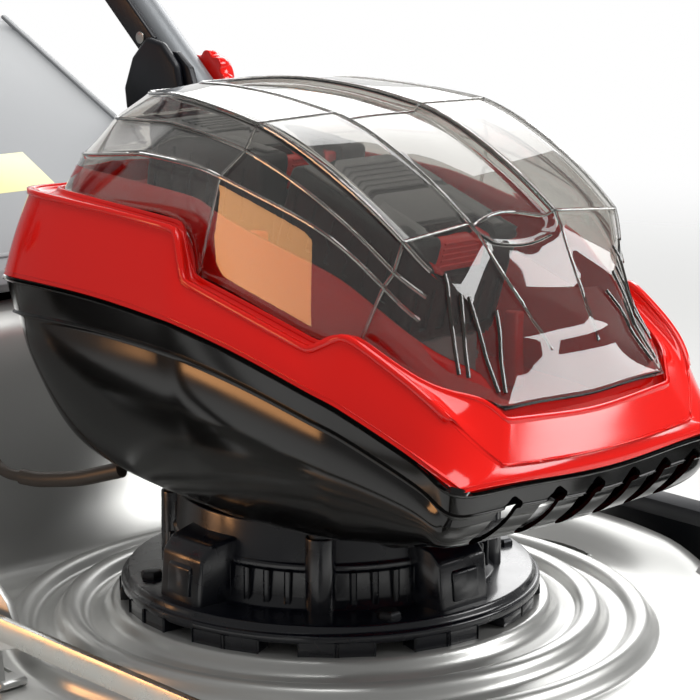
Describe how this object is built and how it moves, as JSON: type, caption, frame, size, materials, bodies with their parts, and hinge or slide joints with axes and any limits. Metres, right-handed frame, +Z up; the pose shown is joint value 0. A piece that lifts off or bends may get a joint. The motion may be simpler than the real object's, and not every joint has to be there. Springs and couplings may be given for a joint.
{
  "type": "cordless lawn mower",
  "caption": "Walk-behind cordless rotary lawn mower with a steel deck, a battery hood with a clear lid, cranked axles, a folding handle and a rear grass box.",
  "frame": {"origin": "on the ground, below the centre of the bounding box", "axes": "+Z up, -Y towards the mower's front, +X towards its right side"},
  "size_m": [0.5265, 1.4518, 1.0436],
  "materials": {
    "deck_paint": "gloss silver paint",
    "black_satin": "satin",
    "black_gloss": "gloss",
    "red_gloss": "gloss",
    "grey_plastic": "moulded",
    "steel_bright": "ground",
    "steel_dark": "phosphated",
    "clear_lid": "clear moulded plastic",
    "tube_paint": "powder coated",
    "tyre": "moulded",
    "rubber": "matte",
    "foam": "foam",
    "cable_jacket": "matte"
  },
  "bodies": {
    "frame": {"deck_shell": "deck_paint", "motor_flange": "black_satin", "motor_can": "steel_dark", "lower_housing": "black_gloss", "upper_housing": "red_gloss", "battery_tray": "red_gloss", "battery_dock": "grey_plastic", "controller_box": "black_satin", "lid_pin": "steel_bright", "handle_bracket_left": "black_satin", "handle_bracket_right": "black_satin", "height_quadrant": "deck_paint", "side_flap_rod": "steel_bright", "rear_flap_rod": "steel_bright", "grass_box": "black_satin", "grass_box_handle": "red_gloss", "control_cable": "cable_jacket"},
    "rotor": {"rotor_shaft": "steel_bright", "blade_adapter": "grey_plastic", "blade": "steel_bright", "blade_bolt": "steel_dark"},
    "lid_door": {"lid": "clear_lid"},
    "pack_rear": {"battery_rear": "black_satin"},
    "pack_front": {"battery_front": "black_satin"},
    "pack_rear_release": {"battery_rear_button": "red_gloss"},
    "pack_front_release": {"battery_front_button": "red_gloss"},
    "key": {"safety_key": "red_gloss"},
    "lever": {"height_lever": "steel_dark", "lever_knob": "red_gloss"},
    "linkage": {"tie_rod": "steel_bright"},
    "front_crank": {"front_axle": "steel_bright"},
    "rear_crank": {"rear_axle": "steel_bright"},
    "discharge_flap": {"rear_flap": "grey_plastic"},
    "side_door": {"side_flap": "black_satin"},
    "skirt": {"trailing_skirt": "rubber"},
    "handle_lower": {"lower_handle": "tube_paint", "pivot_knob_left": "red_gloss", "pivot_knob_right": "red_gloss", "cable_lower": "cable_jacket"},
    "handle_upper": {"upper_handle": "tube_paint", "grip": "foam", "switch_box": "black_satin", "cable_upper": "cable_jacket"},
    "clamp_left": {"cam_lever_left": "red_gloss"},
    "clamp_right": {"cam_lever_right": "red_gloss"},
    "starter": {"start_button": "red_gloss"},
    "bail_bar": {"bail": "steel_bright"},
    "wheel_front_left": {"front_left_tyre": "tyre", "front_left_rim": "grey_plastic", "front_left_hub_cap": "red_gloss"},
    "wheel_front_right": {"front_right_tyre": "tyre", "front_right_rim": "grey_plastic", "front_right_hub_cap": "red_gloss"},
    "wheel_rear_left": {"rear_left_tyre": "tyre", "rear_left_rim": "grey_plastic", "rear_left_hub_cap": "red_gloss"},
    "wheel_rear_right": {"rear_right_tyre": "tyre", "rear_right_rim": "grey_plastic", "rear_right_hub_cap": "red_gloss"}
  },
  "joints": [
    {"name": "blade_spin", "type": "hinge", "parent": "frame", "child": "rotor", "pos_m": [0, -0.35592, 0.06], "axis": [0, 0, 1], "continuous": true},
    {"name": "lid_hinge", "type": "hinge", "parent": "frame", "child": "lid_door", "pos_m": [0, -0.20492, 0.39], "axis": [-1, 0, 0], "range_deg": [0, 75]},
    {"name": "pack_rear_lift", "type": "slide", "parent": "frame", "child": "pack_rear", "axis": [0, -0.1045, 0.9945], "range_m": [0, 0.008]},
    {"name": "pack_front_lift", "type": "slide", "parent": "frame", "child": "pack_front", "axis": [0, -0.309, 0.9511], "range_m": [0, 0.003]},
    {"name": "pack_rear_press", "type": "slide", "parent": "pack_rear", "child": "pack_rear_release", "axis": [0, 0.9945, 0.1045], "range_m": [0, 0.003], "stiffness_N_per_m": 400, "springref_m": -0.002},
    {"name": "pack_front_press", "type": "slide", "parent": "pack_front", "child": "pack_front_release", "axis": [0, 0.9511, 0.309], "range_m": [0, 0.003], "stiffness_N_per_m": 400, "springref_m": -0.002},
    {"name": "key_pull", "type": "slide", "parent": "frame", "child": "key", "axis": [0, 0, 1], "range_m": [0, 0.004]},
    {"name": "rear_crank_turn", "type": "hinge", "parent": "frame", "child": "rear_crank", "pos_m": [0, 0.03808, 0.148], "axis": [1, 0, 0], "range_deg": [0, 47]},
    {"name": "front_crank_turn", "type": "hinge", "parent": "frame", "child": "front_crank", "pos_m": [0, -0.58692, 0.103], "axis": [1, 0, 0], "range_deg": [0, 47]},
    {"name": "lever_turn", "type": "hinge", "parent": "frame", "child": "lever", "pos_m": [-0.2055, -0.29592, 0.16], "axis": [1, 0, 0], "range_deg": [0, 47]},
    {"name": "linkage_turn", "type": "hinge", "parent": "lever", "child": "linkage", "pos_m": [-0.2055, -0.29592, 0.19], "axis": [1, 0, 0], "range_deg": [-47, 0]},
    {"name": "front_left_wheel_spin", "type": "hinge", "parent": "front_crank", "child": "wheel_front_left", "pos_m": [-0.239, -0.63092, 0.095], "axis": [1, 0, 0], "continuous": true},
    {"name": "front_right_wheel_spin", "type": "hinge", "parent": "front_crank", "child": "wheel_front_right", "pos_m": [0.239, -0.63092, 0.095], "axis": [1, 0, 0], "continuous": true},
    {"name": "rear_left_wheel_spin", "type": "hinge", "parent": "rear_crank", "child": "wheel_rear_left", "pos_m": [-0.239, -0.00592, 0.14], "axis": [1, 0, 0], "continuous": true},
    {"name": "rear_right_wheel_spin", "type": "hinge", "parent": "rear_crank", "child": "wheel_rear_right", "pos_m": [0.239, -0.00592, 0.14], "axis": [1, 0, 0], "continuous": true},
    {"name": "rear_flap_hinge", "type": "hinge", "parent": "frame", "child": "discharge_flap", "pos_m": [0, -0.10892, 0.313], "axis": [1, 0, 0], "range_deg": [0, 55]},
    {"name": "side_flap_hinge", "type": "hinge", "parent": "frame", "child": "side_door", "pos_m": [0.236, -0.36792, 0.18], "axis": [0, -1, 0], "range_deg": [0, 70]},
    {"name": "skirt_hinge", "type": "hinge", "parent": "frame", "child": "skirt", "pos_m": [0, -0.08392, 0.12], "axis": [1, 0, 0], "range_deg": [0, 45]},
    {"name": "handle_fold", "type": "hinge", "parent": "frame", "child": "handle_lower", "pos_m": [0, 0.00208, 0.409], "axis": [1, 0, 0], "range_deg": [0, 105]},
    {"name": "handle_break", "type": "hinge", "parent": "handle_lower", "child": "handle_upper", "pos_m": [0, 0.34061, 0.69006], "axis": [-1, 0, 0], "range_deg": [0, 115]},
    {"name": "left_clamp_turn", "type": "hinge", "parent": "handle_lower", "child": "clamp_left", "pos_m": [-0.2, 0.34061, 0.69006], "axis": [1, 0, 0], "range_deg": [0, 90]},
    {"name": "right_clamp_turn", "type": "hinge", "parent": "handle_lower", "child": "clamp_right", "pos_m": [0.2, 0.34061, 0.69006], "axis": [1, 0, 0], "range_deg": [0, 90]},
    {"name": "start_press", "type": "slide", "parent": "handle_upper", "child": "starter", "axis": [0, 0.6388, -0.7694], "range_m": [0, 0.0025], "stiffness_N_per_m": 400, "springref_m": -0.002},
    {"name": "bail_pull", "type": "hinge", "parent": "handle_upper", "child": "bail_bar", "pos_m": [0, 0.66068, 0.95579], "axis": [-1, 0, 0], "range_deg": [0, 22], "stiffness_Nm_per_rad": 0.6, "springref_deg": -28.65}
  ],
  "couplings": [
    {"joint": "front_crank_turn", "follows": "rear_crank_turn", "ratio": 1},
    {"joint": "lever_turn", "follows": "rear_crank_turn", "ratio": 1},
    {"joint": "linkage_turn", "follows": "rear_crank_turn", "ratio": -1}
  ]
}
